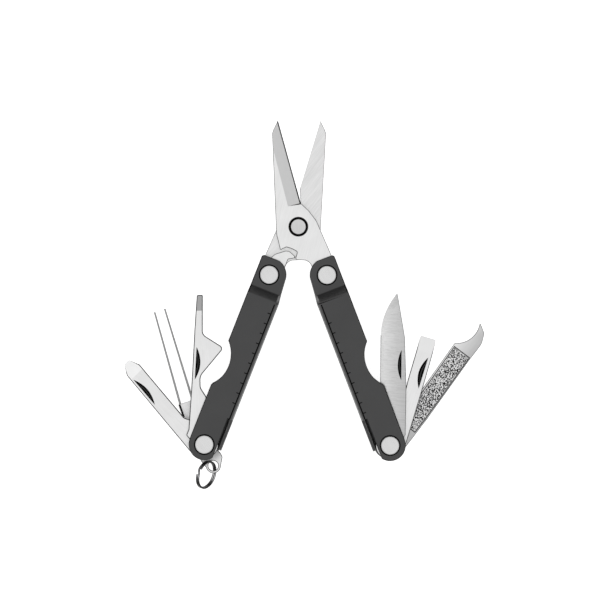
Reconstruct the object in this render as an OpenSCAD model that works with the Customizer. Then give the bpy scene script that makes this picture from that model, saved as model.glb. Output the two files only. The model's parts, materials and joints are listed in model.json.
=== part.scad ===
// Pocket multi-tool with spring scissors between two folding channel handles.
// Each handle carries fold-out implements on its tool rivet: knife, flat driver and nail
// file on the right, bottle opener, cross-point driver, tweezers and key ring on the left.
// It lies flat: +Z is its thickness, +Y points to the scissor tips and +X to the right.
// Every outline is a list of corners [x, y, corner radius], in millimetres.

/* [Scissors] */
// Distance from the scissor pivot to each handle rivet
tang_length = 16.8; // [16.4:0.1:17.4]
// Angle of the left tang from straight down
tang_angle_left = 31.2; // [30:0.1:32]
// Angle of the right tang from straight down
tang_angle_right = 30.6; // [30:0.1:32]
// Thickness of each scissor half
half_thick = 1.2; // [1.1:0.05:1.25]
// Angle of the ground face of each blade
grind_angle = 10; // [6:1:12]
// Radius of the head of the scissor pivot
pivot_head_r = 2.25; // [2:0.05:2.4]

/* [Handles] */
// Distance between the two rivets of a handle
handle_span = 54; // [53:0.5:56]
// Angle between the left handle and straight down
splay_left = 21.5; // [18:0.5:26]
// Angle between the right handle and straight down
splay_right = 20.9; // [18:0.1:26]
// Thickness of the handle sheet
sheet = 0.9; // [0.8:0.05:1]
// Distance from the scissor rivet to the open edge of the channel
open_edge = 4.1; // [4:0.05:4.3]
// Distance from the scissor rivet to the outside of the web
web_edge = 5.9; // [5.8:0.05:6.1]
// Sideways step of the tool rivet towards the web
rivet_offset = 0.6; // [0.5:0.05:0.7]
// Clear height inside the channel
channel_clear = 8.3; // [8.3:0.05:8.5]
// Depth of the thumb notch in the open edge
notch_depth = 2.8; // [2:0.1:3]
// Radius of the thumb notch
notch_r = 10; // [8:0.5:12]
// Distance between two ruler marks
tick_pitch = 3.175; // [3:0.005:3.3]
// Number of ruler marks on each handle
tick_count = 10; // [4:1:10]

/* [Rivets] */
// Radius of each handle rivet's shaft
shaft_r = 1.6; // [1.4:0.05:1.7]
// Radius of each rivet head
head_r = 2.8; // [2.5:0.05:2.85]
// Thickness of each rivet head
head_thick = 0.6; // [0.5:0.05:0.7]
// Depth of the shallow recess that a rivet head sits in
recess_depth = 0.25; // [0.1:0.05:0.3]
// Radial clearance of every turning fit
running_fit = 0.05; // [0.03:0.01:0.08]

/* [Implements] */
// Thickness of the knife and of the opener
outer_thick = 1.4; // [1.2:0.05:1.4]
// Thickness of the two drivers of the inner layer
inner_thick = 1.1; // [1:0.05:1.1]
// Radius of the round root of each implement
root_r = 4.2; // [3.8:0.05:4.25]
// How far the knife stands out of its handle
knife_open = 23.8; // [10:0.1:170]
// How far the flat driver stands out of its handle
flat_open = 40.6; // [30:0.1:170]
// How far the nail file stands out of its handle
file_open = 57.8; // [50:0.1:170]
// How far the bottle opener stands out of its handle
opener_open = 23.3; // [10:0.1:170]
// How far the tweezers stand out of their handle
tweezers_open = 40.5; // [30:0.1:140]
// How far the cross-point driver stands out of its handle
cross_open = 65.2; // [50:0.1:140]

/* [Key ring] */
// Direction of the key ring tab, from straight down
tab_swing = 19; // [10:0.1:24]
// Distance from the rivet to the hole of the tab
tab_reach = 7.3; // [6.8:0.1:7.4]
// Radius of the hole for the split ring
eyelet_r = 1.5; // [1.4:0.05:1.55]
// Radius of the middle of the ring's wire bundle
ring_r = 4.05; // [3.9:0.05:4.3]
// Diameter of the ring's wire
wire_d = 0.6; // [0.5:0.05:0.6]
// Tilt of the ring out of the plane of the tool
ring_tilt = 56; // [52:1:58]

/* [Hidden] */
$fn = 72;

arc_step = 6;       // Largest turn between two points of an arc, in degrees
past = 1;           // How far a cutter runs past what it cuts
far = 80;           // Longer than any piece
half_gap = 0.05;    // Half of the gap between the scissor halves
grind_heel = [-3.1, 6.1];
heel_slope = 32;    // Slope of the end of the ground face
edge_turn = 0.9;    // The edge leans this much more than the ground face's other side
strip_slope = 57;   // Slope of the strip beside the edge
tang_r = 3.9;       // Radius of the round end of each tang, inside its handle
pivot_r = 1.5;      // Radius of the scissor pivot's shaft
pivot_gap = 0.55;   // Width of the gap round the head of the scissor pivot
spigot = 0.4;       // Height of the pin that a cap is pressed on
spigot_share = 0.6; // Radius of that pin, as a share of the shaft's
bend_r = 1.1;       // Outside radius of the bends beside the web

// The middle of the finished tool's width and length, and its lowest level.
middle = [1.7, -23.4];
wall_out = channel_clear / 2 + sheet;
rest_level = -(wall_out - recess_depth + head_thick);

left_rivet = tang_length * [-sin(tang_angle_left), -cos(tang_angle_left)];
right_rivet = tang_length * [sin(tang_angle_right), -cos(tang_angle_right)];
tool_rivet = [rivet_offset, -handle_span];

// Heights of the layers, from the middle plane of the tool. The two scissor halves share
// the middle of the channel when the tool is folded.
half_top = half_gap + half_thick;
pivot_recess = half_top - 0.75;
end_in = 1.35;
end_out = end_in + sheet;
wall_in = channel_clear / 2;
inner_low = 1.4;
inner_front = [inner_low, inner_low + inner_thick];
outer_front = [2.65, 2.65 + outer_thick];
inner_back = [-2.8, -1.4];
tab_layer = [-3.95, -3.15];
spacer_half = 1.3;

// The recesses that the rivet heads sit in.
recess_r = head_r + 0.3;
end_seat = end_out - recess_depth;
wall_seat = wall_out - recess_depth;

// Where the joggle, the web, the slit and the thumb notch are, along the handle.
end_top = 5;
end_round = 5.15;
joggle_top = -4.7;
joggle_low = -6.6;
web_top = -7.4;
slit_top = -44.3;
slit_side = rivet_offset + 3.7;
tongue_half = 3.9;
toe_r = 4.65;
notch_y = -29.6;
groove_x = web_edge - bend_r - 0.2;
groove_w = 0.38;
groove_deep = 0.2;
tick_w = 0.3;
tick_long = 0.8;
tick_deep = 0.12;
first_tick_left = -10.9;
first_tick_right = -13.8;

function flat(p) = [p.x, p.y];
function unit(v) = v / norm(v);
function spun(v, a) = [v.x * cos(a) - v.y * sin(a), v.x * sin(a) + v.y * cos(a)];

// Points of an arc, each with no corner radius of its own.
function arc(centre, r, from, to) =
    let (steps = ceil(abs(to - from) / arc_step))
    [for (i = [0 : steps])
        let (a = from + (to - from) * i / steps)
        [centre.x + r * cos(a), centre.y + r * sin(a), 0]];

// The arc that rounds the corner at b between the sides towards a and c.
function corner(a, b, c, r) =
    let (u = unit(a - b), w = unit(c - b), half = acos(u * w) / 2)
    let (centre = b + unit(u + w) * r / sin(half))
    let (start = b + u * r / tan(half) - centre, end = b + w * r / tan(half) - centre)
    let (sweep = atan2(cross(start, end), start * end), steps = ceil(abs(sweep) / arc_step))
    [for (i = [0 : steps]) centre + spun(start, sweep * i / steps)];

// A closed outline with its corners rounded.
function rounded(p) =
    let (n = len(p))
    [for (i = [0 : n - 1])
        let (at = flat(p[i]))
        each p[i][2] == 0
            ? [at]
            : corner(flat(p[(i + n - 1) % n]), at, flat(p[(i + 1) % n]), p[i][2])];

// Puts what follows at the tool's own origin, which is under the middle of the tool.
module tool() translate([-middle.x, -middle.y, -rest_level]) children();

// A flat plate between two heights, joined from each 2D shape that follows.
module layer(z) translate([0, 0, z[0]]) for (i = [0 : $children - 1])
    linear_extrude(z[1] - z[0]) children(i);

module bore(r) translate([0, 0, -far / 2]) cylinder(r = r, h = far);

// The frames of the two handles. The origin is the scissor rivet, -Y runs to the tool
// rivet and +X points to the web, so the right frame is mirrored.
module on_left() translate(left_rivet) rotate(-splay_left) children();
module on_right() translate(right_rivet) rotate(splay_right) mirror([1, 0]) children();

// An implement's frame: +Y runs along it from its rivet, and it opens towards -X.
module hinged(open) translate(tool_rivet) rotate(open) children();

// ---- Scissors ----

front_outline = concat(
    [[-6.05, 32, 0], [0.75, 7, 0.3], [3.1, 4.8, 2], [5.4, 1.8, 4], [9.6, -7.8, 3]],
    [[11.4, -12.4, 0], [4.75, -14, 0], [3.3, -10.05, 2.6], [-0.55, -9.95, 0.2]],
    [[-0.85, -9.35, 0.1], [-0.25, -7.5, 0.5], [-1.6, -6.75, 1.2], [-3.5, -6.05, 0.8]],
    [[-5.4, -6.95, 0.25], [-6.6, -2, 6], [-7.85, 28.2, 3]]);
back_outline = concat(
    [[-6.55, 31.9, 0], [-0.45, 11.5, 0], [-0.7, 7, 0.3], [3.1, 4.8, 2], [5.4, 1.8, 4]],
    [[9.6, -7.8, 3], [11.4, -12.4, 0], [4.75, -14, 0], [3.1, -10.1, 2.6]],
    [[0, -10, 0.5], [-5.4, -6.9, 0.5], [-6.6, -2, 6], [-8.3, 28.2, 3]]);

// Cuts the ground face of a blade, which starts at grind_heel and leans along the edge, and
// the steep strip beside the edge, from where the edge starts.
module blade_grind(lean, edge_start) {
    translate([grind_heel.x, grind_heel.y, half_top]) rotate(lean) rotate([0, grind_angle, 0]) {
        cube([far, far, past * 3]);
        rotate([heel_slope, 0, 0]) cube([far, far, past * 3]);
    }
    translate([edge_start.x, edge_start.y, half_gap]) rotate(lean + edge_turn)
        rotate([0, strip_slope, 0]) translate([-past * 2, 0, 0]) cube([far, far, past * 3]);
}

// A scissor half with its blade up and to the left and its tang to the lower right.
module scissor_half(outline, rivet, rivet_r, pivot_r, lean, edge_start) {
    difference() {
        layer([half_gap, half_top]) {
            polygon(rounded(outline));
            translate(rivet) circle(r = tang_r);
        }
        blade_grind(lean, edge_start);
        translate(rivet) bore(rivet_r);
        bore(pivot_r);
        translate([0, 0, pivot_recess]) cylinder(r = pivot_head_r + pivot_gap, h = past * 2);
    }
}

module scissor_front_half() {
    color("#dcdcda") tool() scissor_half(
        front_outline, right_rivet, shaft_r + running_fit, pivot_r + running_fit, 14.5, [0.75, 7]);
}

module scissor_back_half() {
    mirrored_left = [-left_rivet.x, left_rivet.y];
    color("#d6d6d4") tool() rotate([0, 180, 0]) scissor_half(
        back_outline, mirrored_left, shaft_r + running_fit, pivot_r, 16, [-0.45, 11.5]);
}

// A rivet's shaft with the head behind, and the pin that its cap is pressed on.
module post(r, reach, head, low) {
    translate([0, 0, -reach]) cylinder(r = r, h = 2 * reach);
    translate([0, 0, -low]) cylinder(r = head, h = low - reach);
    translate([0, 0, reach]) cylinder(r = r * spigot_share, h = spigot);
}

// The head that closes a post's front end.
module cap(r, reach, head, high) {
    difference() {
        translate([0, 0, reach]) cylinder(r = head, h = high - reach);
        translate([0, 0, reach - past]) cylinder(r = r * spigot_share, h = spigot + past);
    }
}

pivot_floor = pivot_recess + 0.03;
pivot_face = half_top - 0.05;

module scissor_pivot_post() {
    color("#c8c8c8") tool() post(pivot_r, pivot_floor, pivot_head_r, pivot_face);
}

module scissor_pivot_cap() {
    color("#c8c8c8") tool() cap(pivot_r, pivot_floor, pivot_head_r, pivot_face);
}

spring_outline = [[-9.6, -10.4, 0], [-6.9, -8.15, 2], [-3, -6.95, 2], [-0.95, -8.9, 0.15],
    [-1.15, -9.4, 0.12], [-3.05, -9.65, 0.4], [-4.2, -12.6, 0], [-6, -15, 0]];

// The finger that holds the scissors open, on the left scissor rivet.
module scissor_spring() {
    color("#d2d2d0") tool() difference() {
        layer([half_gap, half_top]) {
            polygon(rounded(spring_outline));
            translate(left_rivet) circle(r = tang_r);
        }
        translate(left_rivet) bore(shaft_r + running_fit);
    }
}

// ---- Handles ----

// The outline of a side wall from the scissor end down to where the slit starts.
module wall_outline() {
    difference() {
        polygon(rounded(concat(
            [[-open_edge, slit_top, 0], [-open_edge, end_top, 0.8]],
            arc([0, 0], end_round, 76, 0),
            [[web_edge - 0.4, -4, 0], [web_edge, web_top, 0], [web_edge, slit_top, 0]])));
        translate([-open_edge - notch_r + notch_depth, notch_y]) circle(r = notch_r);
    }
}

// The end of a side wall round the tool rivet, cut off at a line beside the web.
module toe_outline(cut_off) {
    intersection() {
        union() {
            translate([-open_edge, tool_rivet.y])
                square([cut_off + open_edge, slit_top - tool_rivet.y]);
            translate(tool_rivet) circle(r = toe_r);
        }
        translate([-far, -far]) square([far + cut_off, far]);
    }
}

// The front side wall seen from the side: [along the handle, height].
joggle_profile = [[end_top + past, end_in, 0], [end_top + past, end_out, 0],
    [joggle_top, end_out, 0.7], [joggle_low, wall_out, 1.4], [web_top, wall_out, 0],
    [web_top, wall_in, 0], [joggle_low - 0.35, wall_in, 0.5], [joggle_top - 0.35, end_in, 1.4]];

module joggled_wall() {
    intersection() {
        translate([-far / 2, 0, 0]) rotate([90, 0, 90]) linear_extrude(far)
            polygon(rounded(joggle_profile));
        layer([0, far]) wall_outline();
    }
}

// The U section of the channel: [across the handle, height].
module channel_section() {
    difference() {
        polygon(rounded([[-open_edge, -wall_out, 0], [web_edge, -wall_out, bend_r],
            [web_edge, wall_out, bend_r], [-open_edge, wall_out, 0]]));
        polygon(rounded([[-open_edge - past, -wall_in, 0], [web_edge - sheet, -wall_in, 0.3],
            [web_edge - sheet, wall_in, 0.3], [-open_edge - past, wall_in, 0]]));
    }
}

// The line beside the web and the ruler marks that start from it.
module handle_grooves(first_tick) {
    floor_z = wall_out - groove_deep;
    translate([groove_x, slit_top, floor_z]) cube([groove_w, web_top - slit_top - 0.3, past]);
    for (i = [0 : tick_count - 1])
        translate([groove_x - tick_long, first_tick - i * tick_pitch, wall_out - tick_deep])
            cube([tick_long + groove_w / 2, tick_w, past]);
}

module handle(first_tick) {
    difference() {
        union() {
            for (side = [0, 1]) mirror([0, 0, side]) joggled_wall();
            // The front wall has a slit beside the tongue, which the back wall closes
            layer([wall_in, wall_out]) toe_outline(slit_side);
            layer([-wall_out, -wall_in]) toe_outline(web_edge);
            intersection() {
                translate([0, web_top, 0]) rotate([90, 0, 0]) linear_extrude(web_top - slit_top)
                    channel_section();
                layer([-far, far]) wall_outline();
            }
            translate([web_edge - sheet, tool_rivet.y, -tongue_half])
                cube([sheet, slit_top - tool_rivet.y, tongue_half * 2]);
        }
        bore(shaft_r);
        translate(tool_rivet) bore(shaft_r);
        for (side = [0, 1]) mirror([0, 0, side]) {
            translate([0, 0, end_seat]) cylinder(r = recess_r, h = past);
            translate([tool_rivet.x, tool_rivet.y, wall_seat]) cylinder(r = recess_r, h = past);
        }
        handle_grooves(first_tick);
    }
}

module left_handle() {
    color("#4b4b4b") tool() on_left() handle(first_tick_left);
}

module right_handle() {
    color("#4b4b4b") tool() on_right() handle(first_tick_right);
}

// ---- Handle rivets and spacers ----

module left_scissor_rivet_post() {
    color("#dedede") tool() on_left() post(shaft_r, end_seat, head_r, end_seat + head_thick);
}

module left_scissor_rivet_cap() {
    color("#e4e4e4") tool() on_left() cap(shaft_r, end_seat, head_r, end_seat + head_thick);
}

module right_scissor_rivet_post() {
    color("#dedede") tool() on_right() post(shaft_r, end_seat, head_r, end_seat + head_thick);
}

module right_scissor_rivet_cap() {
    color("#e4e4e4") tool() on_right() cap(shaft_r, end_seat, head_r, end_seat + head_thick);
}

module left_tool_rivet_post() {
    color("#dedede") tool() on_left() translate(tool_rivet)
        post(shaft_r, wall_seat, head_r, wall_seat + head_thick);
}

module left_tool_rivet_cap() {
    color("#e4e4e4") tool() on_left() translate(tool_rivet)
        cap(shaft_r, wall_seat, head_r, wall_seat + head_thick);
}

module right_tool_rivet_post() {
    color("#dedede") tool() on_right() translate(tool_rivet)
        post(shaft_r, wall_seat, head_r, wall_seat + head_thick);
}

module right_tool_rivet_cap() {
    color("#e4e4e4") tool() on_right() translate(tool_rivet)
        cap(shaft_r, wall_seat, head_r, wall_seat + head_thick);
}

// A round spacer on a rivet.
module spacer(r, z) {
    difference() {
        layer(z) circle(r = r);
        bore(shaft_r);
    }
}

module left_tool_spacer() {
    color("#c4c4c2") tool() on_left() translate(tool_rivet) spacer(3.2, [-spacer_half, spacer_half]);
}

// Keeps the back wall of the right handle off the single tang there.
module right_scissor_spacer() {
    color("#c4c4c2") tool() on_right() spacer(3.4, [-half_top, -half_gap]);
}

// The middle spacer, and one that fills the layer that the key ring tab has on the left.
module right_tool_spacers() {
    color("#c4c4c2") tool() on_right() translate(tool_rivet) {
        spacer(3.2, [-spacer_half, spacer_half]);
        spacer(3.6, [-4.05, -2.9]);
    }
}

// ---- Implements ----

// A crescent nail nick in the top face: straight on its outer side, cut by a conical
// wheel that dips into the face between the two ends.
module nail_nick(at, lean, length, depth, width, top) {
    r = (length * length / 4 + depth * depth) / (2 * depth);
    slope = depth / width;
    translate([at.x, at.y, top + r - depth]) rotate([0, 0, lean]) rotate([0, 90, 0])
        cylinder(r1 = r, r2 = r - 3 * slope, h = 3, $fn = 180);
}

// Grinds both faces of a driver's tip down to a blunt edge.
module tip_grind(z, from, length, depth) {
    angle = atan(depth / length);
    translate([-far / 2, from, z[1]]) rotate([-angle, 0, 0]) cube([far, far, past * 2]);
    translate([-far / 2, from, z[0]]) rotate([angle, 0, 0]) translate([0, 0, -past * 2])
        cube([far, far, past * 2]);
}

// An implement's plate: its outline and its round root on the rivet, with the bore.
module implement(outline, z) {
    difference() {
        layer(z) {
            polygon(rounded(outline));
            circle(r = root_r);
        }
        bore(shaft_r + running_fit);
    }
}

// The straight edge starts beside the choil and leans out; the belly is an arc after it.
edge_half = 0.02;   // Half of the thickness left at the cutting edge
edge_foot = [3.5, 9.5];
edge_lean = 2.2;
edge_long = 23.2;
belly = [-15.3, 33];
belly_r = 19.7;
belly_turn = [4, 37];
grind_line = [-1.8, 9.5];
main_grind = 5;
knife_bevel = 14;
bevel_w = 3;        // Wider than the bevel beside the edge
choil = [4.1, 8.6];
choil_r = 1;
knife_middle = (outer_front[0] + outer_front[1]) / 2;
knife_outline = concat(
    [[0.05, 45.35, 0], [-2.8, 32.3, 4], [-3.95, 17.8, 0], [-4.45, 3, 0.8], [0, 0, 0]],
    [[3.5, 4.5, 0], [3.45, 8, 0], [4.4, 32.5, 8]],
    arc(belly, belly_r, belly_turn[0], belly_turn[1]));

// Grinds one face from near the spine, then bevels it along the edge, straight and belly.
module knife_grind() {
    translate([grind_line.x, grind_line.y, outer_thick / 2]) rotate(-1) rotate([0, main_grind, 0])
        cube([far, far, past]);
    translate([edge_foot.x, edge_foot.y, edge_half]) rotate(-edge_lean) rotate([0, knife_bevel, 0])
        translate([1 - bevel_w, 0, 0]) cube([bevel_w, edge_long, past]);
    translate([belly.x, belly.y, edge_half]) rotate(belly_turn[0] - 1.5) rotate_extrude(angle = 36)
        translate([belly_r, 0]) rotate(-knife_bevel) translate([1 - bevel_w, 0]) square([bevel_w, past]);
}

module knife_blade() {
    color("#d4d4d2") tool() on_right() hinged(knife_open) difference() {
        implement(knife_outline, outer_front);
        // The choil where the cutting edge starts
        translate(choil) bore(choil_r);
        for (side = [0, 1]) translate([0, 0, knife_middle]) mirror([0, 0, side]) knife_grind();
        nail_nick([-2.2, 24], -2.2, 9, 0.55, 1.2, outer_front[1]);
    }
}

flat_outline = [[2.3, 33.9, 0.4], [1.45, 20, 6], [0.85, 13, 4], [3.6, 5, 3], [4, 1, 0],
    [-4, 0, 0], [-4.45, 2.2, 0.5], [-3.6, 18.8, 0], [-2.95, 29.2, 3], [-2.45, 34.2, 0.4]];

module flat_driver() {
    color("#dededc") tool() on_right() hinged(flat_open) difference() {
        implement(flat_outline, inner_front);
        tip_grind(inner_front, 29.6, 4.5, 0.3);
        nail_nick([-2.25, 23.6], -2.4, 9.8, 0.6, 1.5, inner_front[1]);
    }
}

file_outline = concat(
    arc([6.2, 42], 7, 153, 238),
    [[2.5, 35.5, 0.15], [2, 18, 5], [2.2, 12, 4], [3.9, 5, 3], [4, 1, 0], [-4, 0, 0]],
    [[-4.5, 2, 0.5], [-4.6, 12.7, 0], [-4.1, 35, 12], [-4.2, 40.6, 5], [-2.9, 43.7, 1.5]],
    [[-0.35, 45.3, 0.15]]);

module nail_file() {
    color("#b8b8b6") tool() on_right() hinged(file_open) difference() {
        implement(file_outline, inner_back);
        // The hook beyond the file faces is thinner
        tip_grind(inner_back, 36.5, 8, 0.3);
    }
}

opener_outline = [[0.9, 44.5, 0.4], [0.5, 32.7, 2], [6.65, 28.5, 1.1], [-0.6, 20.3, 3],
    [-0.65, 16.9, 2.5], [3.3, 10.2, 4], [4.1, 2, 0], [-3.9, 1, 0], [-5.35, 2.9, 0.5],
    [-4.6, 4.6, 0.8], [-3.2, 18.8, 0], [-1.9, 34.3, 0], [-0.9, 44.5, 0.4]];

module bottle_opener() {
    color("#dadad8") tool() on_left() hinged(opener_open) difference() {
        implement(opener_outline, outer_front);
        tip_grind(outer_front, 39.8, 4.7, 0.35);
        nail_nick([-1.85, 24.2], -5, 9.8, 0.6, 1.4, outer_front[1]);
    }
}

cross_outline = [[-0.95, 33.8, 0.2], [0.95, 33.8, 0.2], [2.35, 30.5, 0.6], [1, 9.8, 1.6],
    [4.1, 4.5, 2], [4, 0, 0], [-4, -0.5, 0], [-4.7, 1.4, 0.5], [-2.7, 30.8, 0.6]];

module cross_point_driver() {
    color("#d8d8d6") tool() on_left() hinged(cross_open) difference() {
        implement(cross_outline, inner_front);
        tip_grind(inner_front, 29, 4.8, 0.28);
        nail_nick([-2.4, 23.6], -3.2, 9.9, 0.6, 1.35, inner_front[1]);
    }
}

leg_thick = 0.6;
leg_start = 9.7;
leg_end = 42.1;
base_end = 13.5;

// One leg of the tweezers, from its foot's outer side to its tip's outer side.
module tweezer_leg(foot, tip) {
    intersection() {
        layer([-4, -1.45]) polygon([[foot, leg_start], [foot + leg_thick, leg_start],
            [tip + leg_thick * 0.8, leg_end], [tip, leg_end]]);
        translate([-far / 2, 0, 0]) rotate([90, 0, 90]) linear_extrude(far)
            polygon(rounded([[leg_start, -1.45, 0], [base_end, -1.45, 2], [leg_end, -2.2, 0.3],
                [leg_end, -3.2, 0.3], [18, -4, 4], [leg_start, -4, 1]]));
    }
}

tweezers_base = [[-3.85, base_end, 0], [-3.85, 3, 0], [4, 0, 0], [0.75, 7, 3], [0.75, base_end, 0]];

module tweezers() {
    color("#cfcfcd") tool() on_left() hinged(tweezers_open) {
        implement(tweezers_base, [-2.6, -1.45]);
        tweezer_leg(-3.85, -1.85);
        tweezer_leg(0.15, 1.35);
    }
}

// ---- Key ring ----

// The tab's frame: the rivet, with +Y towards the hole.
module on_tab() on_left() translate(tool_rivet) rotate(180 + splay_left + tab_swing) children();

tab_outline = [[3.9, 1.4, 0], [-2.5, 3, 0], [-3.3, 4.3, 0.5], [-3.5, 5.7, 0.8], [-2.1, 8.1, 0],
    [1.9, 8, 0], [2.8, 5.6, 1.2]];
rim_r = 2.25;       // Radius of the tab's round end

module key_ring_tab() {
    eyelet = [0, tab_reach];
    color("#d0d0ce") tool() on_tab() difference() {
        layer(tab_layer) {
            circle(r = root_r);
            translate(eyelet) circle(r = rim_r);
            polygon(rounded(tab_outline));
        }
        bore(shaft_r + running_fit);
        translate(eyelet) bore(eyelet_r);
    }
}

// The ring's centre and the direction that it tilts about, clockwise from +Y.
ring_centre = [0.3, -9.45, -1.56];
ring_lean = 16;

// Two turns of wire lie side by side, as one closed ring of their outer shape.
module split_ring() {
    tool_end = left_rivet + spun(tool_rivet, -splay_left);
    color("#6a6a6c") tool() translate([tool_end.x, tool_end.y, 0]) translate(ring_centre)
        rotate([0, 0, -ring_lean]) rotate([0, ring_tilt, 0]) rotate_extrude()
            for (side = [-1, 1]) translate([ring_r, side * wire_d * 0.48]) circle(d = wire_d);
}

scissor_back_half();
scissor_front_half();
scissor_pivot_post();
scissor_pivot_cap();
scissor_spring();
left_handle();
left_scissor_rivet_post();
left_scissor_rivet_cap();
left_tool_rivet_post();
left_tool_rivet_cap();
left_tool_spacer();
bottle_opener();
cross_point_driver();
tweezers();
key_ring_tab();
split_ring();
right_handle();
right_scissor_rivet_post();
right_scissor_rivet_cap();
right_scissor_spacer();
right_tool_rivet_post();
right_tool_rivet_cap();
right_tool_spacers();
knife_blade();
flat_driver();
nail_file();
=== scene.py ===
"""A pocket multi-tool lying flat, with its scissors and all of its implements open.

Shapes are made in millimetres, in the frame of the CAD model, and scaled to metres at the end.
"""

import json
import math
import random

import bmesh
import bpy
from mathutils import Matrix, Vector


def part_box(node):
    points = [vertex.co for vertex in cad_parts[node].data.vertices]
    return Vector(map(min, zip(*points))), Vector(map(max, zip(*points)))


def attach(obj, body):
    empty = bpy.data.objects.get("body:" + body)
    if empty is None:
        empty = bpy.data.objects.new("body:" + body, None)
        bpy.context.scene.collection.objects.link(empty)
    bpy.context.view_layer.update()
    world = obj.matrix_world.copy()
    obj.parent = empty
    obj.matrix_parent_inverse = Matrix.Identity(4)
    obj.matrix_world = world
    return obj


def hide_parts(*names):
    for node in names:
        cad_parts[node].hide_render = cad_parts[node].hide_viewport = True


MM = 0.001
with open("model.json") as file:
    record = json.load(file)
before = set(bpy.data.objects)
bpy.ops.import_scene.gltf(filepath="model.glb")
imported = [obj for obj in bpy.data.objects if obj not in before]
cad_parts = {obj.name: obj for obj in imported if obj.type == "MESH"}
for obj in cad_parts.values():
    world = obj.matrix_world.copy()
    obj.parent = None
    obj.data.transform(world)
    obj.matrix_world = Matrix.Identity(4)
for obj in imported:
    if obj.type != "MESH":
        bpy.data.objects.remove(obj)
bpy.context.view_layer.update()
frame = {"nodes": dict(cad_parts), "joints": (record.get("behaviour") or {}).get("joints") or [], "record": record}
nodes = frame["nodes"]
record = frame["record"]
body_of = {node: body for body, group in record["behaviour"]["bodies"].items() for node in group}
pivots = {joint["name"]: Vector(joint["pos_m"]) / MM for joint in frame["joints"]}

# How far each handle splays from straight down, and each implement stands out of its handle.
SPLAY = {"left": 21.5, "right": 20.9}
IMPLEMENTS = {
    "knife_blade": ("right", "knife_fold", 23.8),
    "flat_driver": ("right", "flat_driver_fold", 40.6),
    "nail_file": ("right", "nail_file_fold", 57.8),
    "bottle_opener": ("left", "opener_fold", 23.3),
    "cross_point_driver": ("left", "cross_driver_fold", 65.2),
    "tweezers": ("left", "tweezers_fold", 40.5)}

# The height of the plane that the handles are symmetric about.
MID_PLANE = 5.4

# ---- Camera, light and floor ----

VIEW_WIDTH = 176.2
VIEW_MIDDLE = Vector((-2.4, 2.7, 9))
LENS = 140
SENSOR = 36
LAMP_HEIGHT = 1.1
LAMP_SIZE = 1.6
LAMP_RADIANCE = 0.5
FLOOR_HALF = 1.5
FLOOR_DROP = 0.0001
FLOOR_GLOW = 0.78

# The grey of the room at each height of its dome, from the floor to the top.
ROOM = ((0.35, 0.06), (0.55, 0.5), (0.9, 0.6))


def add_camera():
    """Looks straight down, with the photograph's framing."""
    data = bpy.data.cameras.new("camera")
    data.lens = LENS
    data.sensor_width = SENSOR
    data.clip_start = 0.01
    camera = bpy.data.objects.new("camera", data)
    height = VIEW_WIDTH * LENS / SENSOR
    camera.location = (VIEW_MIDDLE + Vector((0, 0, height))) * MM
    bpy.context.scene.collection.objects.link(camera)
    bpy.context.scene.camera = camera


def add_lamp():
    """A round lamp above the tool. Radiance is how bright it looks in a mirror."""
    data = bpy.data.lights.new("overhead", "AREA")
    data.shape = "DISK"
    data.size = LAMP_SIZE
    data.energy = LAMP_RADIANCE * math.pi * math.pi * (LAMP_SIZE / 2) ** 2
    lamp = bpy.data.objects.new("overhead", data)
    lamp.location.z = LAMP_HEIGHT
    bpy.context.scene.collection.objects.link(lamp)


def set_room():
    """A pale sky above and a dark band round the horizon, which draws the edges of the steel."""
    world = bpy.data.worlds.new("room")
    bpy.context.scene.world = world
    world.use_nodes = True
    tree = world.node_tree
    coordinates = tree.nodes.new("ShaderNodeTexCoord")
    split = tree.nodes.new("ShaderNodeSeparateXYZ")
    ramp = tree.nodes.new("ShaderNodeValToRGB")
    elements = ramp.color_ramp.elements
    elements.remove(elements[1])
    elements[0].position = ROOM[0][0]
    elements[0].color = (*[ROOM[0][1]] * 3, 1)
    for position, grey in ROOM[1:]:
        elements.new(position).color = (grey, grey, grey, 1)
    tree.links.new(coordinates.outputs["Generated"], split.inputs[0])
    tree.links.new(split.outputs["Z"], ramp.inputs[0])
    tree.links.new(ramp.outputs[0], tree.nodes["Background"].inputs["Color"])


def add_floor():
    """A white floor that glows a little, so that it stays white beside the tool."""
    mesh = bpy.data.meshes.new("floor")
    corners = [(x * FLOOR_HALF, y * FLOOR_HALF, 0) for x, y in ((-1, -1), (1, -1), (1, 1), (-1, 1))]
    mesh.from_pydata(corners, [], [(0, 1, 2, 3)])
    floor = bpy.data.objects.new("floor", mesh)
    floor.location.z = -FLOOR_DROP
    bpy.context.scene.collection.objects.link(floor)
    material = bpy.data.materials.new("floor")
    material.use_nodes = True
    shader = material.node_tree.nodes["Principled BSDF"]
    shader.inputs["Base Color"].default_value = (0.9, 0.9, 0.9, 1)
    shader.inputs["Roughness"].default_value = 0.9
    shader.inputs["Specular IOR Level"].default_value = 0.1
    shader.inputs["Emission Color"].default_value = (1, 1, 1, 1)
    shader.inputs["Emission Strength"].default_value = FLOOR_GLOW
    mesh.materials.append(material)


# ---- Materials ----


def implement_frame(node):
    """Rivet, turn and side of an implement: +Y runs along it, and +X away from its nail nick."""
    side, joint, opened = IMPLEMENTS[node]
    turn = opened - SPLAY[side]
    if side == "left":
        return pivots[joint], turn, 1
    return pivots[joint], -turn, -1


STEEL = (0.82, 0.82, 0.82)
# Painted shade on the slope at the heel of a blade's ground face.
HEEL_SHADE = (0.28, 0.28, 0.28)
# Painted shade on the tweezers' legs.
LEG_SHADE = (0.3, 0.3, 0.3)
# Painted shade, near black, for sunk floors, gaps and the tweezers' feet.
PIT_SHADE = (0.004, 0.004, 0.004)
COATING_GREY = (0.055, 0.055, 0.056)
# Painted shade on the coating's rounded edges and in its rivet recesses.
COATING_SHADE = (0.008, 0.008, 0.008)
# Painted shade on the slopes of the handle's joggle.
JOGGLE_SHADE = (0.034, 0.034, 0.034)
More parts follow.
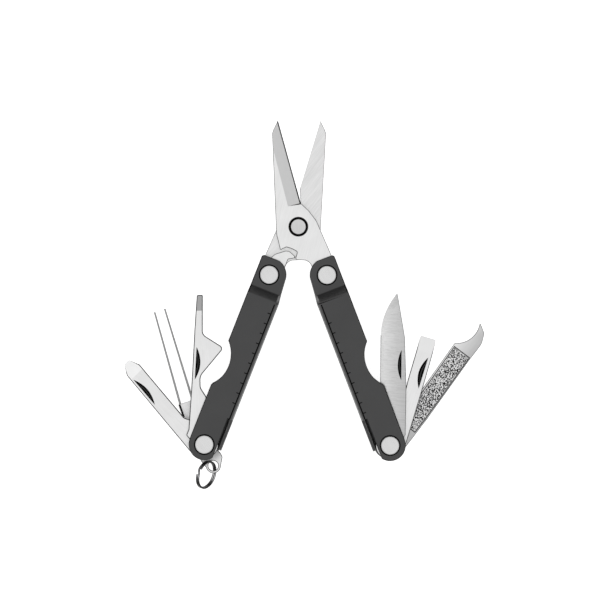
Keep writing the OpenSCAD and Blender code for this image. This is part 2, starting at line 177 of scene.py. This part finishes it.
# A painted sheen along the bends of the web.
COATING_SHINE = (0.4, 0.4, 0.4)
COAT_SHINE = 0.5
FOOT_LOW = 9.5
FOOT_TOP = 13.4

# Heights between which the sunk floors lie, which are given painted shade: the line and ruler marks, the recesses
# of the rivet heads at both ends of a handle, and the gap round the scissor pivot, front and back.
GROOVE_FLOORS = (10.22, 10.4)
RIVET_FLOORS = ((10.15, 10.22), (7.35, 7.45))
PIVOT_FLOORS = ((5.85, 5.95), (4.85, 4.95))

# Where the parts of a handle are, in millimetres from its scissor rivet.
JOGGLE_ALONG = (-7.3, -4)
JOGGLE_ACROSS = (-3.75, 5.5)
BEND_ACROSS = (4.95, 6.5)
OPEN_EDGE_ACROSS = (-9, -3.6)


class Look:
    """One node material: a principled shader and the textures that feed it."""

    def __init__(self, name, color, metallic, roughness):
        self.material = bpy.data.materials.new(name)
        self.material.use_nodes = True
        self.tree = self.material.node_tree
        self.shader = self.tree.nodes["Principled BSDF"]
        self.shader.inputs["Metallic"].default_value = metallic
        self.shader.inputs["Roughness"].default_value = roughness
        self.shader.inputs["Base Color"].default_value = (*color, 1)
        self.color = self._constant(color)
        self.height = None
        self.shine = None

    def _constant(self, color):
        node = self.tree.nodes.new("ShaderNodeRGB")
        node.outputs[0].default_value = (*color, 1)
        return node.outputs[0]

    def node(self, kind, **settings):
        made = self.tree.nodes.new(kind)
        for name, value in settings.items():
            setattr(made, name, value)
        return made

    def math(self, operation, *values):
        made = self.node("ShaderNodeMath", operation=operation)
        for socket, value in zip(made.inputs, values):
            if isinstance(value, (int, float)):
                socket.default_value = value
            else:
                self.tree.links.new(value, socket)
        return made.outputs[0]

    def noise(self, across, along, angle=0, detail=3, offset=0):
        """Noise whose spots are across and along millimetres big, turned by an angle."""
        coordinates = self.node("ShaderNodeTexCoord")
        mapping = self.node("ShaderNodeMapping", vector_type="TEXTURE")
        mapping.inputs["Location"].default_value = (offset * MM, 0, 0)
        mapping.inputs["Rotation"].default_value = (0, 0, math.radians(angle))
        mapping.inputs["Scale"].default_value = (across * MM, along * MM, across * MM)
        texture = self.node("ShaderNodeTexNoise")
        texture.inputs["Scale"].default_value = 1
        texture.inputs["Detail"].default_value = detail
        self.tree.links.new(coordinates.outputs["Object"], mapping.inputs[0])
        self.tree.links.new(mapping.outputs[0], texture.inputs["Vector"])
        return texture.outputs[0]

    def ramp(self, value, stops):
        """A grey ramp through (position, grey) stops."""
        made = self.node("ShaderNodeValToRGB")
        elements = made.color_ramp.elements
        elements.remove(elements[1])
        elements[0].position = stops[0][0]
        elements[0].color = (*[stops[0][1]] * 3, 1)
        for position, grey in stops[1:]:
            elements.new(position).color = (grey, grey, grey, 1)
        self.tree.links.new(value, made.inputs[0])
        return made.outputs[0]

    def upright(self):
        """How much the surface faces up or down: 1 on flat faces, 0 on side walls."""
        geometry = self.node("ShaderNodeNewGeometry")
        split = self.node("ShaderNodeSeparateXYZ")
        self.tree.links.new(geometry.outputs["True Normal"], split.inputs[0])
        return self.math("ABSOLUTE", split.outputs["Z"])

    def local(self, origin=(0, 0, 0), turn=0, side=1):
        """X, Y and Z in millimetres, in a frame at an origin, turned about Z and mirrored."""
        coordinates = self.node("ShaderNodeTexCoord")
        mapping = self.node("ShaderNodeMapping", vector_type="TEXTURE")
        mapping.inputs["Location"].default_value = (origin[0] * MM, origin[1] * MM, 0)
        mapping.inputs["Rotation"].default_value = (0, 0, math.radians(turn))
        mapping.inputs["Scale"].default_value = (side * MM, MM, MM)
        split = self.node("ShaderNodeSeparateXYZ")
        self.tree.links.new(coordinates.outputs["Object"], mapping.inputs[0])
        self.tree.links.new(mapping.outputs[0], split.inputs[0])
        return split.outputs

    def between(self, value, low, high):
        """A mask that is white where a value is between two others."""
        return self.math("COMPARE", value, (low + high) / 2, (high - low) / 2)

    def level_face(self, low, high):
        """A mask of the level faces between two heights in millimetres."""
        level = self.between(self.upright(), 0.995, 1.1)
        return self.math("MULTIPLY", level, self.between(self.local()[2], low, high))

    def shade(self, mask, color):
        """Turns the colour to another one where the mask is white."""
        mix = self.node("ShaderNodeMix", data_type="RGBA")
        self.tree.links.new(mask, mix.inputs["Factor"])
        self.tree.links.new(self.color, mix.inputs["A"])
        mix.inputs["B"].default_value = (*color, 1)
        self.color = mix.outputs["Result"]

    def dull(self, mask):
        """Takes the coat's shine away where the mask is white."""
        kept = self.math("MULTIPLY_ADD", mask, -1, 1)
        self.shine = kept if self.shine is None else self.math("MULTIPLY", self.shine, kept)

    def multiply(self, grey):
        """Multiplies the colour by a grey texture."""
        mix = self.node("ShaderNodeMix", data_type="RGBA", blend_type="MULTIPLY")
        mix.inputs["Factor"].default_value = 1
        self.tree.links.new(self.color, mix.inputs["A"])
        self.tree.links.new(grey, mix.inputs["B"])
        self.color = mix.outputs["Result"]

    def bump(self, height, depth):
        """Adds relief of a depth in millimetres."""
        made = self.node("ShaderNodeBump")
        made.inputs["Distance"].default_value = depth * MM
        self.tree.links.new(height, made.inputs["Height"])
        if self.height:
            self.tree.links.new(self.height, made.inputs["Normal"])
        self.height = made.outputs[0]

    def rough(self, value, low, high):
        """Roughness from low to high, by a texture."""
        made = self.node("ShaderNodeMapRange")
        made.inputs["From Min"].default_value = 0.3
        made.inputs["From Max"].default_value = 0.7
        made.inputs["To Min"].default_value = low
        made.inputs["To Max"].default_value = high
        self.tree.links.new(value, made.inputs["Value"])
        self.tree.links.new(made.outputs[0], self.shader.inputs["Roughness"])

    def done(self):
        self.tree.links.new(self.color, self.shader.inputs["Base Color"])
        if self.height:
            self.tree.links.new(self.height, self.shader.inputs["Normal"])
        if self.shine:
            level = self.math("MULTIPLY", self.shine, COAT_SHINE)
            self.tree.links.new(level, self.shader.inputs["Specular IOR Level"])
        return self.material


# Masks by how much a surface faces up, which place painted shade and light: rounded edges, which draw
# the thin dark outlines, nail nicks, the bends of the handles, and the ground face of a blade with the slope at
# its end.
EDGE = ((0.03, 0), (0.1, 1), (0.9, 1), (0.972, 0))
WIDE_EDGE = ((0.03, 0), (0.1, 1), (0.965, 1), (0.99, 0))
NICK = ((0.84, 0), (0.86, 1), (0.957, 1), (0.963, 0))
BEND = ((0.1, 0), (0.35, 1), (0.9, 0.3), (0.98, 0))
GROUND = ((0.97, 0), (0.976, 1), (0.99, 1), (0.994, 0))
HEEL = ((0.8, 0), (0.82, 1), (0.85, 1), (0.87, 0))
# Painted shade in a nail nick, and a painted highlight across it.
NICK_SHADE = (0.006, 0.006, 0.006)
NICK_SHINE = (0.09, 0.09, 0.09)


def brushed(name, color, roughness, angle, edge, streak, outline=WIDE_EDGE):
    """Steel brushed along an angle, with painted shade darkening its rounded edges."""
    look = Look(name, color, 1, roughness)
    coarse = look.noise(0.5, 9, angle)
    fine = look.noise(0.07, 4, angle, offset=3)
    clouds = look.noise(7, 7, detail=2)
    look.multiply(look.ramp(coarse, ((0.3, 1 - streak), (0.7, 1))))
    look.multiply(look.ramp(fine, ((0.3, 1 - streak * 1.5), (0.7, 1))))
    look.multiply(look.ramp(clouds, ((0.35, 0.96), (0.65, 1))))
    # Painted shade: rounded edges that face sideways are darkened, as if they reflected the dark room.
    look.shade(look.ramp(look.upright(), outline), [c * edge for c in color])
    look.rough(fine, roughness - 0.06, roughness + 0.08)
    look.bump(fine, 0.006)
    return look


def steel(name, color=STEEL, roughness=0.34, angle=0, edge=0.06, streak=0.06):
    return brushed(name, color, roughness, angle, edge, streak).done()


def add_nick(look, shine):
    """Paints shade that blackens a nail nick, whose cone slopes more than any other face, with a paler crescent of
    painted highlight.
    """
    nick = look.ramp(look.upright(), NICK)
    look.shade(nick, NICK_SHADE)
    paler = look.between(look.local()[2], *shine)
    look.shade(look.math("MULTIPLY", nick, paler), NICK_SHINE)


def half_steel(name, angle, streak, ground):
    """A scissor half, with painted shade on its ground face, on the slope at the end of that face, and in the gap
    round the pivot.
    """
    look = brushed(name, STEEL, 0.34, angle, 0.06, streak)
    # Painted shade on the ground face, which leans a little away from the lamp.
    look.shade(look.ramp(look.upright(), GROUND), ground)
    look.shade(look.ramp(look.upright(), HEEL), HEEL_SHADE)
    # Painted shade in the sunk gap round the pivot.
    for low, high in PIVOT_FLOORS:
        look.shade(look.level_face(low, high), PIT_SHADE)
    return look.done()


def knife_steel():
    """Painted light at the cutting edge and painted shade greyer towards the spine, with marks across the blade.
    """
    origin, turn, side = implement_frame("knife_blade")
    look = brushed("knife_steel", STEEL, 0.33, turn + 90, 0.1, 0.05, EDGE)
    across = look.local(origin, turn, side)[0]
    # Painted light and shade across the blade, from the edge to the spine.
    edge_to_spine = look.math("MULTIPLY_ADD", across, 0.1, 0.5)
    look.multiply(look.ramp(edge_to_spine, ((0.1, 0.64), (0.45, 0.75), (0.7, 0.87), (0.92, 1))))
    marks = look.noise(0.18, 7, turn + 90, offset=9)
    look.multiply(look.ramp(marks, ((0.42, 0.9), (0.5, 1))))
    add_nick(look, (9.13, 9.2))
    return look.done()


def implement_steel(node, tip, tip_grey, shine):
    """An implement's steel, with the level faces of its tip painted another grey past a distance from its rivet,
    for how the light falls on them.
    """
    origin, turn, side = implement_frame(node)
    look = brushed(node + "_steel", STEEL, 0.34, turn, 0.06, 0.05)
    along = look.local(origin, turn, side)[1]
    face = look.between(look.upright(), 0.97, 1.1)
    look.shade(look.math("MULTIPLY", look.between(along, tip, tip + 20), face), (tip_grey,) * 3)
    add_nick(look, shine)
    return look.done()


def tweezers_steel():
    """Painted shade: grey legs and black feet, beside a lighter plate."""
    origin, turn, side = implement_frame("tweezers")
    look = brushed("tweezers_steel", STEEL, 0.36, turn, 0.1, 0.05)
    across, along = look.local(origin, turn, side)[:2]
    look.shade(look.between(along, FOOT_TOP, 60), LEG_SHADE)
    plate = look.math("MULTIPLY", look.between(across, -3.2, 0.12), look.between(along, -9, FOOT_TOP))
    feet = look.math("SUBTRACT", look.between(along, FOOT_LOW, FOOT_TOP), plate)
    # Painted shade on the feet, where the plate bends up into the legs.
    look.shade(look.math("MAXIMUM", feet, 0), PIT_SHADE)
    return look.done()


def tab_steel():
    """Steel that is greyer near the handle, in its shadow."""
    look = brushed("tab_steel", STEEL, 0.34, -40, 0.06, 0.05)
    across, along = look.local(pivots["ring_tab_swing"])[:2]
    square = look.math("MULTIPLY_ADD", across, across, look.math("MULTIPLY", along, along))
    reach = look.math("SQRT", square)
    look.multiply(look.ramp(look.math("MULTIPLY", reach, 0.1), ((0.48, 0.62), (0.62, 0.85), (0.72, 1))))
    return look.done()


def file_steel():
    """Plain steel round the grit: greyer towards the outside of the hook."""
    origin, turn, side = implement_frame("nail_file")
    look = brushed("file_steel", STEEL, 0.34, turn, 0.1, 0.04)
    across = look.local(origin, turn, side)[0]
    side_to_side = look.math("MULTIPLY_ADD", across, 0.1, 0.5)
    look.multiply(look.ramp(side_to_side, ((0.1, 0.62), (0.45, 0.8), (0.75, 1))))
    return look.done()


def grit_steel():
    """Diamond-like grit: bright and black specks under half a millimetre."""
    look = Look("file_grit", (0.5, 0.5, 0.5), 0.6, 0.5)
    specks = look.noise(0.36, 0.36, detail=2)
    fine = look.noise(0.14, 0.14, detail=2, offset=5)
    look.multiply(look.ramp(specks, ((0.46, 0.01), (0.495, 0.35), (0.53, 2))))
    look.multiply(look.ramp(fine, ((0.35, 0.7), (0.6, 1.1))))
    look.rough(fine, 0.35, 0.6)
    look.bump(specks, 0.05)
    return look.done()


def coating(side):
    """Satin dark grey coating, with painted shade near black in its grooves, recesses and on its rounded edges,
    and a painted sheen along the bends of the web.
    """
    look = Look(f"{side}_handle_coating", COATING_GREY, 0, 0.42)
    grain = look.noise(0.16, 0.16, detail=4)
    clouds = look.noise(9, 9, detail=3)
    look.multiply(look.ramp(grain, ((0.3, 0.85), (0.7, 1.1))))
    look.multiply(look.ramp(clouds, ((0.35, 0.95), (0.65, 1.05))))
    upright = look.upright()
    turn, mirror = (-SPLAY[side], 1) if side == "left" else (SPLAY[side], -1)
    across, along = look.local(pivots[f"{side}_handle_fold"], turn, mirror)[:2]
    # Painted shade on the rounded edges.
    look.shade(look.ramp(upright, EDGE), COATING_SHADE)
    # Painted shade on the joggle's slopes, less dark than on the other edges.
    joggle = look.math("MULTIPLY", look.between(along, *JOGGLE_ALONG), look.between(across, *JOGGLE_ACROSS))
    look.shade(look.math("MULTIPLY", joggle, look.ramp(upright, EDGE)), JOGGLE_SHADE)
    # Painted sheen along the bend of the web, where it faces partly sideways.
    bend = look.math("MULTIPLY", look.between(across, *BEND_ACROSS), look.ramp(upright, BEND))
    look.shade(bend, COATING_SHINE)
    # Painted shade in the grooves of the line and ruler marks, which also lose their shine.
    grooves = look.level_face(*GROOVE_FLOORS)
    look.shade(grooves, PIT_SHADE)
    look.dull(grooves)
    # Painted shade in the rivet recesses, which also lose their shine.
    for low, high in RIVET_FLOORS:
        recess = look.level_face(low, high)
        look.shade(recess, COATING_SHADE)
        look.dull(recess)
    # Painted shade: the open edge also loses its shine.
    open_side = look.between(across, *OPEN_EDGE_ACROSS)
    look.dull(look.math("MULTIPLY", open_side, look.ramp(upright, EDGE)))
    look.rough(grain, 0.38, 0.5)
    look.bump(grain, 0.01)
    return look.done()


def ring_steel():
    """Polished wire with painted reflections: dark on its flanks and bright where it faces up."""
    look = Look("ring_chrome", (0.75, 0.75, 0.76), 1, 0.16)
    marks = look.noise(0.3, 0.3, detail=4)
    look.multiply(look.ramp(marks, ((0.3, 0.9), (0.7, 1))))
    # Painted reflection: dark where the wire faces sideways, a painted highlight where it faces up.
    look.multiply(look.ramp(look.upright(), ((0.3, 0.012), (0.8, 0.03), (0.92, 0.5), (0.97, 1))))
    look.rough(marks, 0.12, 0.22)
    look.bump(marks, 0.003)
    return look.done()


def plain_metal(name, color, roughness):
    """Metal with faint marks, and no direction."""
    look = Look(name, color, 1, roughness)
    marks = look.noise(0.3, 0.3, detail=4)
    look.multiply(look.ramp(marks, ((0.3, 0.9), (0.7, 1))))
    look.rough(marks, roughness * 0.8, roughness * 1.3)
    look.bump(marks, 0.004)
    return look.done()


# ---- Pieces ----


def link(name, mesh):
    piece = bpy.data.objects.new(name, mesh)
    bpy.context.scene.collection.objects.link(piece)
    return piece


def stand_for(piece, node, material):
    """The piece takes the CAD node's place, body and finish."""
    piece.data.materials.clear()
    piece.data.materials.append(material)
    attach(piece, body_of[node])
    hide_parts(node)
    return piece


# Distances in millimetres, and angles in degrees. A thin weld keeps a sharp cutting edge, and
# a short one also joins the ends of edges that are too short to round.
WELD = 0.04
THIN_WELD = 0.004
SHORT_WELD = 0.12
ROUNDED_WALL = 0.65
ROUND_STEPS = 5
FLAT_ANGLE = 0.6
GRIND_ANGLE = 3.5
CRISP_ANGLE = 20
WALL_SLOPE = 0.3
FACE_SLOPE = 0.9


def cleaned(mesh, weld):
    """Joins the split vertices of a tessellated solid, and its coplanar triangles."""
    work = bmesh.new()
    work.from_mesh(mesh)
    bmesh.ops.scale(work, vec=Vector((1 / MM,) * 3), verts=work.verts)
    bmesh.ops.remove_doubles(work, verts=work.verts, dist=weld)
    bmesh.ops.dissolve_limit(
        work, angle_limit=math.radians(FLAT_ANGLE), use_dissolve_boundaries=False,
        verts=work.verts, edges=work.edges)
    bmesh.ops.recalc_face_normals(work, faces=work.faces)
    return work


def height_of(face):
    heights = [vert.co.z for vert in face.verts]
    return max(heights) - min(heights)


def is_outer_edge(edge):
    """Whether an edge is between a face and a side wall that is high enough to round it."""
    if len(edge.link_faces) != 2 or not edge.is_convex:
        return False
    wall, top = sorted(edge.link_faces, key=lambda face: abs(face.normal.z))
    upright = abs(wall.normal.z) < WALL_SLOPE and abs(top.normal.z) > FACE_SLOPE
    return upright and height_of(wall) > ROUNDED_WALL


def is_grind_line(edge):
    """Whether an edge is the crisp line between two ground faces that lean a little apart."""
    if len(edge.link_faces) != 2 or edge.calc_face_angle() < math.radians(GRIND_ANGLE):
        return False
    return all(abs(face.normal.z) > FACE_SLOPE and face.calc_area() > 0.5 for face in edge.link_faces)


def soften(work, crisp_grind):
    """Smooth shading, with wide edges left crisp, and grind lines too if they are to be."""
    for face in work.faces:
        face.smooth = True
    for edge in work.edges:
        wide = len(edge.link_faces) != 2 or edge.calc_face_angle() > math.radians(CRISP_ANGLE)
        edge.smooth = not wide and not (crisp_grind and is_grind_line(edge))


def refined(node, material, radius, weld=WELD, crisp_grind=True):
    """The CAD node with its outer edges rounded, by a radius in millimetres."""
    work = cleaned(nodes[node].data, weld)
    outer = [edge for edge in work.edges if is_outer_edge(edge)]
    bmesh.ops.bevel(
        work, geom=outer, offset=radius, segments=ROUND_STEPS, profile=0.5, affect="EDGES",
        clamp_overlap=False)
    piece = from_shape(node + "_finished", work, crisp_grind)
    shading = piece.modifiers.new("shading", "WEIGHTED_NORMAL")
    shading.keep_sharp = True
    return stand_for(piece, node, material)


def from_shape(name, work, crisp_grind=False):
    """A piece from mesh work in millimetres."""
    bmesh.ops.recalc_face_normals(work, faces=work.faces)
    soften(work, crisp_grind)
    bmesh.ops.scale(work, vec=Vector((MM,) * 3), verts=work.verts)
    mesh = bpy.data.meshes.new(name)
    work.to_mesh(mesh)
    work.free()
    return link(name, mesh)


def ring_of(work, centre, z, radii):
    """A loop of vertices about a vertical axis, one for each radius."""
    count = len(radii)
    turn = 2 * math.pi / count
    return [
        work.verts.new((centre.x + r * math.cos(i * turn), centre.y + r * math.sin(i * turn), z))
        for i, r in enumerate(radii)]


def bridge(work, low, high):
    count = len(low)
    for i in range(count):
        j = (i + 1) % count
        work.faces.new((low[i], low[j], high[j], high[i]))


SERRATIONS = 46
HEAD_STEPS = 4
TOOTH = 0.17
SHAFT_R = 1.6
PIN_R = 1


def serrated(radius, depth):
    """Radii round a head whose rim is cut with small teeth."""
    waves = [0, 0.6, 1, 0.6]
    return [radius - depth * waves[i % HEAD_STEPS] for i in range(SERRATIONS * HEAD_STEPS)]


def head_loops(work, centre, radius, seat, face):
    """The loops of a serrated head, from its seat to the middle of its face."""
    up = 1 if face > seat else -1
    profile = (
        (0, abs(face - seat), TOOTH), (0, 0.12, TOOTH), (0.05, 0.03, TOOTH * 0.9),
        (0.12, 0, TOOTH * 0.7), (0.3, 0, 0), (0.4, 0.02, 0), (1.2, 0.02, 0), (1.9, 0, 0))
    return [
        ring_of(work, centre, face - up * sink, serrated(radius - inner, tooth))
        for inner, sink, tooth in profile]


def rivet_part(node, radius, seat, face, shaft_end, shaft_r, material):
    """A serrated rivet head on its seat, with the shaft that reaches from it."""
    low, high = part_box(node)
    centre = (low + high) / 2 / MM
    work = bmesh.new()
    count = SERRATIONS * HEAD_STEPS
    end = ring_of(work, centre, shaft_end, [shaft_r] * count)
    neck = ring_of(work, centre, seat, [shaft_r] * count)
    loops = [end, neck] + head_loops(work, centre, radius, seat, face)
    for below, above in zip(loops, loops[1:]):
        bridge(work, below, above)
    work.faces.new(loops[0])
    work.faces.new(loops[-1])
    return stand_for(from_shape(node + "_finished", work), node, material)


def add_rivets(material):
    """The heads of the four handle rivets, front and back."""
    for side in ("left", "right"):
        for end in ("scissor", "tool"):
            post = f"{side}_{end}_rivet_post"
            cap = f"{side}_{end}_rivet_cap"
            low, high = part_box(cap)
            seat, face = low.z / MM, high.z / MM
            radius = (high.x - low.x) / 2 / MM
            back_seat = 2 * MID_PLANE - seat
            back_face = 2 * MID_PLANE - face
            rivet_part(cap, radius, seat, face, seat - 0.01, PIN_R, material)
            rivet_part(post, radius, back_seat, back_face, seat, SHAFT_R, material)


SECTION_STEPS = 12
SECTION_POWER = 0.75


def wire_tube(work, path, frames, width, height):
    """A wire of rounded square section along a path."""
    section = []
    for step in range(SECTION_STEPS):
        angle = 2 * math.pi * step / SECTION_STEPS
        c, s = math.cos(angle), math.sin(angle)
        section.append((
            width / 2 * math.copysign(abs(c) ** SECTION_POWER, c),
            height / 2 * math.copysign(abs(s) ** SECTION_POWER, s)))
    loops = []
    for point, (out, up) in zip(path, frames):
        loops.append([work.verts.new(point + out * a + up * b) for a, b in section])
    for below, above in zip(loops, loops[1:]):
        bridge(work, below, above)
    work.faces.new(loops[0])
    work.faces.new(loops[-1])


# The grit field of the nail file, in its own frame: [along, lowest across, highest across].
GRIT_STATIONS = ((7.6, -3.85, 1.7), (12, -3.95, 1.5), (18, -3.9, 1.3), (35, -3.55, 1.8))
GRIT_CELL = 0.26
GRIT_LOW = 0.02
GRIT_HIGH = 0.09
GRIT_WANDER = 0.07
BORDER_WIDTH = 0.28
BORDER_LIFT = 0.012
SKIRT = -0.03


def field_limits(along):
    """The two sides of the grit field at a distance along the file."""
    for (y0, low0, high0), (y1, low1, high1) in zip(GRIT_STATIONS, GRIT_STATIONS[1:]):
        if along <= y1:
            t = (along - y0) / (y1 - y0)
            return low0 + t * (low1 - low0), high0 + t * (high1 - high0)
    return GRIT_STATIONS[-1][1:]


def file_matrix():
    origin, turn, side = implement_frame("nail_file")
    return (Matrix.Translation((origin.x, origin.y, 0)) @ Matrix.Rotation(math.radians(turn), 4, "Z")
            @ Matrix.Scale(side, 4, (1, 0, 0)))


def grit_sheet(face, up, draw):
    """One face of grit: a sheet of rough cells on a skirt that reaches into the steel."""
    work = bmesh.new()
    matrix = file_matrix()
    start, end = GRIT_STATIONS[0][0], GRIT_STATIONS[-1][0]
    rows = round((end - start) / GRIT_CELL)
    columns = round((GRIT_STATIONS[0][2] - GRIT_STATIONS[0][1]) / GRIT_CELL)
    grid = []
    for i in range(rows + 1):
        along = start + (end - start) * i / rows
        low, high = field_limits(along)
        row = []
        for j in range(columns + 1):
            rim = i in (0, rows) or j in (0, columns)
            lift = SKIRT if rim else draw.uniform(GRIT_LOW, GRIT_HIGH)
            wander = 0 if rim else draw.uniform(-GRIT_WANDER, GRIT_WANDER)
            across = low + (high - low) * j / columns + wander
            row.append(work.verts.new(matrix @ Vector((across, along, face + up * lift))))
        grid.append(row)
    for i in range(rows):
        for j in range(columns):
            work.faces.new((grid[i][j], grid[i][j + 1], grid[i + 1][j + 1], grid[i + 1][j]))
    return work


def border_strip(face, up):
    """The dark line round the grit."""
    work = bmesh.new()
    matrix = file_matrix()
    inner = []
    outer = []
    for along, low, high in GRIT_STATIONS:
        inner.append(Vector((low, along, 0)))
        outer.append(Vector((low - BORDER_WIDTH, along, 0)))
    outer[0].y -= BORDER_WIDTH
    outer[-1].y += BORDER_WIDTH
    for along, low, high in reversed(GRIT_STATIONS):
        inner.append(Vector((high, along, 0)))
        outer.append(Vector((high + BORDER_WIDTH, along, 0)))
    outer[len(GRIT_STATIONS)].y += BORDER_WIDTH
    outer[-1].y -= BORDER_WIDTH
    loops = []
    for outline, lift in ((outer, SKIRT), (outer, BORDER_LIFT), (inner, BORDER_LIFT), (inner, SKIRT)):
        raised = Vector((0, 0, face + up * lift))
        loops.append([work.verts.new(matrix @ (point + raised)) for point in outline])
    for below, above in zip(loops, loops[1:] + loops[:1]):
        bridge(work, below, above)
    return work


def add_grit(material, border_material):
    """Grit on both faces of the nail file, with a dark line round it."""
    low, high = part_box("nail_file")
    draw = random.Random(7)
    for name, face, up in (("upper", high.z / MM, 1), ("lower", low.z / MM, -1)):
        grit = from_shape(f"nail_file_grit_{name}", grit_sheet(face, up, draw))
        border = from_shape(f"nail_file_border_{name}", border_strip(face, up))
        for piece, look in ((grit, material), (border, border_material)):
            piece.data.materials.append(look)
            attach(piece, body_of["nail_file"])


RING_R = 4.05
RING_WIRE = 0.6
RING_TILT = 56
RING_LEAN = 16
RING_START = 184
RING_JOG = 24
RING_STEPS = 180
RING_FLATNESS = 0.94
COIL_OFFSET = 0.48


def add_split_ring(material):
    """Two turns of wire that change places at the jog, where both ends show."""
    low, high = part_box("split_ring")
    centre = (low + high) / 2 / MM
    lean = Matrix.Rotation(math.radians(-RING_LEAN), 3, "Z")
    turn = lean @ Matrix.Rotation(math.radians(RING_TILT), 3, "Y")
    axis = turn @ Vector((0, 0, 1))
    half = RING_WIRE * COIL_OFFSET
    total = 720 - RING_JOG
    path = []
    frames = []
    for i in range(RING_STEPS + 1):
        run = total * i / RING_STEPS
        angle = math.radians(RING_START + run)
        cross = min(max((run - (total / 2 - RING_JOG / 2)) / RING_JOG, 0), 1)
        shift = half * (2 * cross * cross * (3 - 2 * cross) - 1)
        out = turn @ Vector((math.cos(angle), math.sin(angle), 0))
        path.append(centre + out * RING_R + axis * shift)
        frames.append((out, axis))
    work = bmesh.new()
    wire_tube(work, path, frames, RING_WIRE, RING_WIRE * RING_FLATNESS)
    return stand_for(from_shape("split_ring_finished", work), "split_ring", material)


add_camera()
add_lamp()
set_room()
add_floor()
bpy.context.scene.view_settings.view_transform = "Standard"

# The last colour of each scissor half is the painted shade of its ground face.
back_steel = half_steel("back_half_steel", -38, 0.1, (0.7, 0.7, 0.7))
front_steel = half_steel("front_half_steel", -15, 0.05, (0.58, 0.58, 0.58))
spring_steel = steel("spring_steel", angle=50)
rivet_steel = steel(
    "rivet_steel", color=(0.69, 0.69, 0.69), roughness=0.3, edge=0.35, angle=30, streak=0.04)
pivot_steel = steel("pivot_steel", color=(0.68, 0.68, 0.68), roughness=0.38, edge=0.4)
spacer_steel = plain_metal("spacer_steel", (0.6, 0.6, 0.59), 0.3)
border_dark = plain_metal("file_border", (0.02, 0.02, 0.02), 0.5)

# The heights in millimetres of the paler crescent, a painted highlight, in a nail nick, by the level of its face.
OUTER_SHINE = (9.12, 9.2)
INNER_SHINE = (7.55, 7.64)
# Tip greys: painted shade on the opener and flat driver, painted light on the cross-point driver.
opener_steel = implement_steel("bottle_opener", 39.8, 0.37, OUTER_SHINE)
cross_steel = implement_steel("cross_point_driver", 29, 0.86, INNER_SHINE)
flat_steel = implement_steel("flat_driver", 29.6, 0.76, INNER_SHINE)

# Each node with the radius of its rounded edges in millimetres.
refined("scissor_back_half", back_steel, 0.18)
refined("scissor_front_half", front_steel, 0.2, SHORT_WELD)
refined("scissor_spring", spring_steel, 0.2)
refined("scissor_pivot_post", pivot_steel, 0.12)
refined("scissor_pivot_cap", pivot_steel, 0.12)
refined("left_handle", coating("left"), 0.3)
refined("right_handle", coating("right"), 0.3)
refined("bottle_opener", opener_steel, 0.36)
refined("cross_point_driver", cross_steel, 0.36)
refined("tweezers", tweezers_steel(), 0.12)
refined("key_ring_tab", tab_steel(), 0.28)
refined("knife_blade", knife_steel(), 0.2, THIN_WELD, False)
refined("flat_driver", flat_steel, 0.3)
refined("nail_file", file_steel(), 0.2)
for spacer in ("left_tool_spacer", "right_scissor_spacer", "right_tool_spacers"):
    refined(spacer, spacer_steel, 0.1)
add_grit(grit_steel(), border_dark)
add_rivets(rivet_steel)
add_split_ring(ring_steel())
